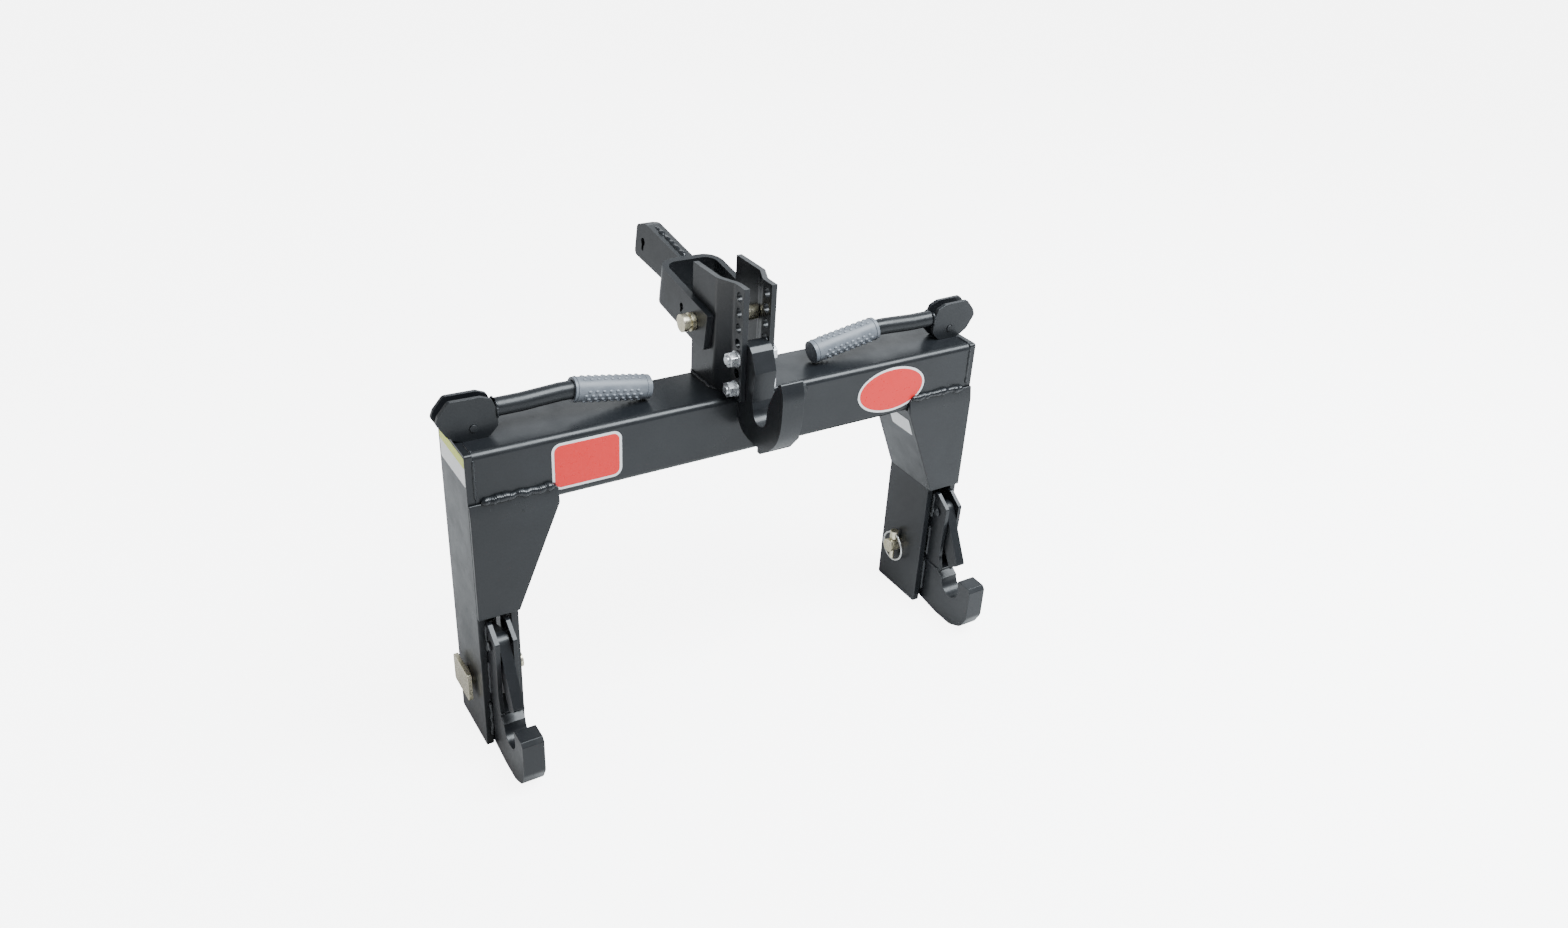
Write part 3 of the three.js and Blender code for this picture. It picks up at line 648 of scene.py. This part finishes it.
def bracket_beads():
    """Runs down both sides of the tongue's root, and along the seam between its two plies."""
    roots = []
    for x in (-TONGUE_FACE, TONGUE_FACE):
        roots.append([on_bracket(x, TONGUE_ROOT + 0.0002, -0.026),
                      on_bracket(x, TONGUE_ROOT + 0.0002, 0.026)])
    bead("tongue_root_bead", "top_bracket", roots, radius=0.0031, seed=170, wander=0.3)
    top = [on_bracket(0, TONGUE_ROOT + 0.003, 0.0265), on_bracket(0, TONGUE_ROOT + 0.075, 0.0257),
           on_bracket(0, TONGUE_ROOT + 0.096, 0.0245)]
    bottom = [on_bracket(0, TONGUE_ROOT + 0.003, -0.0278),
              on_bracket(0, TONGUE_ROOT + 0.128, -0.0355)]
    bead("tongue_seam_bead", "top_bracket", [top, bottom],
         radius=0.0040, seed=180, flat=0.7, wander=0.35)


for name_of_side, sign in SIDES:
    gusset_beads(name_of_side, sign)
    beam_end_beads(name_of_side, sign)
    hook_beads(name_of_side, sign)
    ear_beads(name_of_side, sign)
    pivot_weld(name_of_side)
    lever_beads(name_of_side, sign)
for name_of_side, sign in SIDES:
    mast_beads(name_of_side, sign)
backing_plate_bead()
bracket_beads()


# ---- hand grips --------------------------------------------------------------------------------
GRIP_RADIUS = 0.0162
# Ends of the sleeve's axis: distance from the middle of the hitch, and height over the beam.
GRIP_MOUTH = (0.233, 0.0347)
GRIP_END = (0.127, 0.01675)
NUB_PITCH = 0.0096
NUB_RADIUS = 0.0019
NUB_HEIGHT = 0.0017
NUB_STRETCH = 1.5     # length of a nub along the sleeve over its width
FIRST_NUB = 0.014     # from the mouth of the sleeve
NUBS_END = 0.012      # no nub nearer to the closed end than this
NUB_SUNK = 0.0002


def grip_nubs(side_name, side):
    """Rows of small raised nubs, with plain strips along the upper front and opposite it."""
    a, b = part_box(f"{side_name}_lever_grip")
    y = (a.y + b.y) / 2
    mouth = Vector((side * GRIP_MOUTH[0], y, TOP_Z + GRIP_MOUTH[1]))
    end = Vector((side * GRIP_END[0], y, TOP_Z + GRIP_END[1]))
    way = (end - mouth).normalized()
    front = Vector((0, -1, 0))
    upper = front.cross(way).normalized()
    if upper.z < 0:
        upper = -upper
    length = (end - mouth).length
    parts = []
    row = 0
    for degrees in range(0, 360, 20):
        if 35 < degrees < 75 or 215 < degrees < 255:
            continue
        row += 1
        angle = math.radians(degrees)
        out = upper * math.cos(angle) + front * math.sin(angle)
        across = way.cross(out)
        for k in range(9):
            distance = FIRST_NUB + NUB_PITCH * (k + (0.5 if row % 2 else 0.0))
            if distance > length - NUBS_END:
                continue
            centre = mouth + way * distance + out * (GRIP_RADIUS - NUB_SUNK)
            parts.append(dome(centre, way * NUB_STRETCH, across, out, NUB_RADIUS, NUB_HEIGHT))
    name = f"{side_name}_grip_nubs"
    points, faces = gather(parts)
    piece(name, mesh_from(name, points, faces), f"{side_name}_lever", NUB_PAINTED_HIGHLIGHT)
    collar = []
    for distance, size in ((0.0045, 0.0009), (length - 0.0065, 0.0007)):
        centre = mouth + way * distance
        ring = [centre + GRIP_RADIUS * (upper * math.cos(CIRCLE * k / 36)
                                        + front * math.sin(CIRCLE * k / 36)) for k in range(36)]
        collar.append(sweep(ring, [size] * 36, 8, closed=True, up=way))
    name = f"{side_name}_grip_collars"
    points, faces = gather(collar)
    piece(name, mesh_from(name, points, faces), f"{side_name}_lever", RUBBER)


def dome(centre, first, second, out, radius, height):
    """A low round bump with its closed foot just under the surface."""
    segments = 8
    points = []
    for level in range(4):
        polar = math.radians(90 - 28 * level)
        ring = radius * math.sin(polar)
        lift = height * math.cos(polar) - (0.0005 if level == 0 else 0.0)
        for k in range(segments):
            angle = CIRCLE * k / segments
            points.append(centre + ring * (first * math.cos(angle) + second * math.sin(angle))
                          + out * lift)
    faces = []
    for level in range(3):
        for k in range(segments):
            m = (k + 1) % segments
            faces.append((level * segments + k, level * segments + m,
                          (level + 1) * segments + m, (level + 1) * segments + k))
    faces.append(tuple(range(3 * segments, 4 * segments)))
    faces.append(tuple(reversed(range(segments))))
    return points, faces


for name_of_side, sign in SIDES:
    grip_nubs(name_of_side, sign)


def coil_spring(side_name):
    """A closed-end coil spring that stands for the plain CAD helix."""
    node = f"{side_name}_rod_spring"
    a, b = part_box(node)
    centre = (a + b) / 2
    wire_radius = 0.0016
    radius = (b.x - a.x) / 2 - wire_radius
    turns = 9.5
    flat_pitch = 0.18  # pitch of the first and last turns over the pitch between them
    steps = int(turns * 26)
    centres = []
    for i in range(steps + 1):
        t = i / steps
        done = t * turns
        # The first and last turns lie nearly flat, and the pitch is even between them.
        eased = (flat_pitch * min(done, 1.0) + max(0.0, min(done, turns - 1.0) - 1.0)
                 + flat_pitch * max(0.0, done - (turns - 1.0))) / (turns - 2.0 + 2 * flat_pitch)
        z = a.z + wire_radius + (b.z - a.z - 2 * wire_radius) * eased
        angle = CIRCLE * done
        centres.append(Vector((centre.x + radius * math.cos(angle),
                               centre.y + radius * math.sin(angle), z)))
    points, faces = sweep(centres, [wire_radius] * len(centres), 10)
    name = f"{side_name}_coil_spring"
    obj = piece(name, mesh_from(name, points, faces), "frame", SPRING)
    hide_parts(node)
    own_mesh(obj)


for name_of_side, sign in SIDES:
    coil_spring(name_of_side)


# ---- labels ------------------------------------------------------------------------------------
FILM = 0.00022
FILM_GAP = 0.00002


def rounded_rectangle(width, height, corner, steps=7):
    points = []
    for k, (sx, sy) in enumerate(((1, 1), (-1, 1), (-1, -1), (1, -1))):
        for i in range(steps + 1):
            angle = math.pi / 2 * (k + i / steps)
            points.append((sx * (width / 2 - corner) + corner * math.cos(angle),
                           sy * (height / 2 - corner) + corner * math.sin(angle)))
    return points


def oval(width, height, steps=72):
    return [(width / 2 * math.cos(CIRCLE * k / steps), height / 2 * math.sin(CIRCLE * k / steps))
            for k in range(steps)]


def film(outline, centre, right, up, base, thickness):
    """A flat closed sheet over an outline, standing on base above a surface."""
    out = right.cross(up).normalized()
    count = len(outline)
    points = []
    for lift in (base, base + thickness):
        for u, v in outline:
            points.append(centre + right * u + up * v + out * lift)
    faces = [tuple(reversed(range(count))), tuple(range(count, 2 * count))]
    for k in range(count):
        m = (k + 1) % count
        faces.append((k, m, count + m, count + k))
    return points, faces


def label(name, layers, centre, right, up):
    """Stacked films, each as (outline, material)."""
    base = FILM_GAP
    for i, (outline, material) in enumerate(layers):
        points, faces = film(outline, centre, right, up, base, FILM)
        piece(f"{name}_{i + 1}", mesh_from(name, points, faces), "frame", material, smooth=False)
        base += FILM + FILM_GAP


def shifted(outline, du, dv):
    return [(u + du, v + dv) for u, v in outline]


RIGHT = Vector((1, 0, 0))
UP = Vector((0, 0, 1))

label("front_left_label",
      [(rounded_rectangle(0.095, 0.066, 0.012), WHITE),
       (rounded_rectangle(0.088, 0.059, 0.009), RED)],
      Vector((-0.2335, FACE_Y, TOP_Z - 0.0435)), RIGHT, UP)
label("front_right_label",
      [(oval(0.118, 0.070), WHITE), (oval(0.111, 0.063), RED)],
      Vector((0.240, FACE_Y, TOP_Z - 0.0440)), RIGHT, UP)

plate_low, plate_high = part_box("left_outer_side_plate")
label("side_label",
      [(rounded_rectangle(0.090, 0.040, 0.002), WHITE),
       (shifted(rounded_rectangle(0.090, 0.014, 0.002), 0, 0.0130), LIME)],
      Vector((plate_low.x, (plate_low.y + plate_high.y) / 2 - 0.002, TOP_Z - 0.024)),
      Vector((0, -1, 0)), UP)

wall_top = Vector((low("right_gusset").x + 0.002, 0, BEAM_LOW.z - 0.0003))
wall_foot = Vector((low("right_inner_leg_plate").x - 0.0003, 0, low("right_gusset").z))
wall_place = wall_top.lerp(wall_foot, 0.22) + Vector((0, FACE_Y + 0.031, 0))
label("wall_label", [(rounded_rectangle(0.050, 0.030, 0.002), WHITE)], wall_place,
      Vector((0, -1, 0)), (wall_top - wall_foot).normalized())


# ---- floor, light and camera -------------------------------------------------------------------
def floor():
    work = bmesh.new()
    bmesh.ops.create_grid(work, x_segments=12, y_segments=12, size=14)
    mesh = bpy.data.meshes.new("floor")
    work.to_mesh(mesh)
    work.free()
    obj = bpy.data.objects.new("floor", mesh)
    bpy.context.scene.collection.objects.link(obj)
    n = Nodes("floor")
    cloud = n.remap(n.noise(0.8, 3), 0.3, 0.7, 0.0, 1.0)
    tone = n.mix(cloud, (0.62, 0.62, 0.625), (0.65, 0.65, 0.65))
    # The floor looks white to the camera but lights the object no more than a pale floor does.
    seen = n.remap(n.add("ShaderNodeLightPath").outputs["Is Camera Ray"], 0.0, 1.0, 0.12, 6.0)
    mesh.materials.append(n.set(Base_Color=tone, Roughness=0.75, Emission_Strength=seen,
                                Emission_Color=(1.0, 1.0, 1.0)))


def area(name, place, target, size, power, colour=(1, 1, 1)):
    data = bpy.data.lights.new(name, "AREA")
    data.shape = "RECTANGLE"
    data.size, data.size_y = size
    data.energy = power
    data.color = colour
    obj = bpy.data.objects.new(name, data)
    obj.location = place
    obj.rotation_euler = (Vector(target) - Vector(place)).to_track_quat("-Z", "Y").to_euler()
    bpy.context.scene.collection.objects.link(obj)
    return obj


floor()
# A wide soft box along the beam, mirrored in its rounded front edge all the way along.
edge_light = area("edge_light", (1.1, -0.95, 2.45), (1.1, -0.10, 0.45), (2.6, 1.5), 210,
                  (0.88, 0.95, 1.0))
edge_light.rotation_euler = (math.radians(24), 0, 0)
area("back_light", (1.7, 2.9, 1.9), (0, 0, 0.3), (3.2, 1.5), 22, (0.90, 0.96, 1.0))
area("left_light", (-1.5, 0.5, 0.35), (-0.39, 0, 0.25), (1.2, 0.9), 9)

world = bpy.data.worlds.new("studio")
world.use_nodes = True
background = world.node_tree.nodes["Background"]
background.inputs["Color"].default_value = (0.92, 0.96, 1.0, 1.0)
# White where the camera sees it, and a dim even fill everywhere else.
sky = world.node_tree.nodes.new("ShaderNodeMapRange")
sky.inputs["To Min"].default_value = 0.38
sky.inputs["To Max"].default_value = 5.0
rays = world.node_tree.nodes.new("ShaderNodeLightPath")
world.node_tree.links.new(rays.outputs["Is Camera Ray"], sky.inputs["Value"])
world.node_tree.links.new(sky.outputs["Result"], background.inputs["Strength"])
bpy.context.scene.world = world

# The camera that was fitted to the object's straight edges in the photo.
camera_data = bpy.data.cameras.new("camera")
camera_data.sensor_width = 36
camera_data.lens = 28.19
camera = bpy.data.objects.new("camera", camera_data)
camera.location = (-0.7654, -1.3563, 1.1867)
camera.rotation_euler = (math.radians(60.18), math.radians(-3.30), math.radians(-31.65))
bpy.context.scene.collection.objects.link(camera)
bpy.context.scene.camera = camera

bpy.context.view_layer.update()
